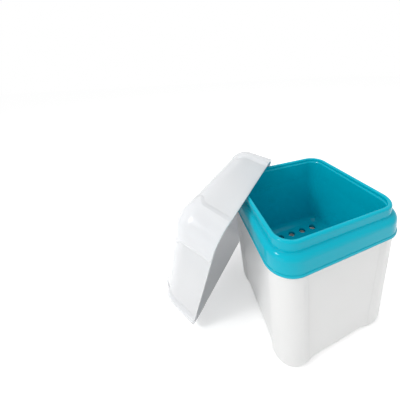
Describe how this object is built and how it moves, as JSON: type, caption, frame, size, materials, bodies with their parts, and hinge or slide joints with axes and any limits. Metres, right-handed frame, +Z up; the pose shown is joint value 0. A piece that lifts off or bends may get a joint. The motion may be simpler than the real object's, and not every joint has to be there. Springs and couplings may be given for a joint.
{
  "type": "retainer case",
  "caption": "Square open-topped soaking case with a lift-out drain basket and a deep lift-off lid that leans against one corner.",
  "frame": {"origin": "middle of the container's flat base, on the surface it stands on", "axes": "+Z up, X and Y square to the container's faces; the lid leans on the corner at -X +Y"},
  "size_m": [0.1265, 0.1113, 0.0888],
  "materials": {
    "outer_cup": "satin",
    "strainer_basket": "gloss",
    "lid": "satin"
  },
  "bodies": {
    "cup": {"outer_cup": "outer_cup"},
    "basket": {"strainer_basket": "strainer_basket"},
    "cover": {"lid": "lid"}
  },
  "joints": [
    {"name": "basket_lift", "type": "slide", "parent": "cup", "child": "basket", "axis": [0, 0, 1], "range_m": [0, 0.09]},
    {"name": "lid_lift", "type": "slide", "parent": "basket", "child": "cover", "axis": [0, 0, 1], "range_m": [0, 0.1]}
  ]
}
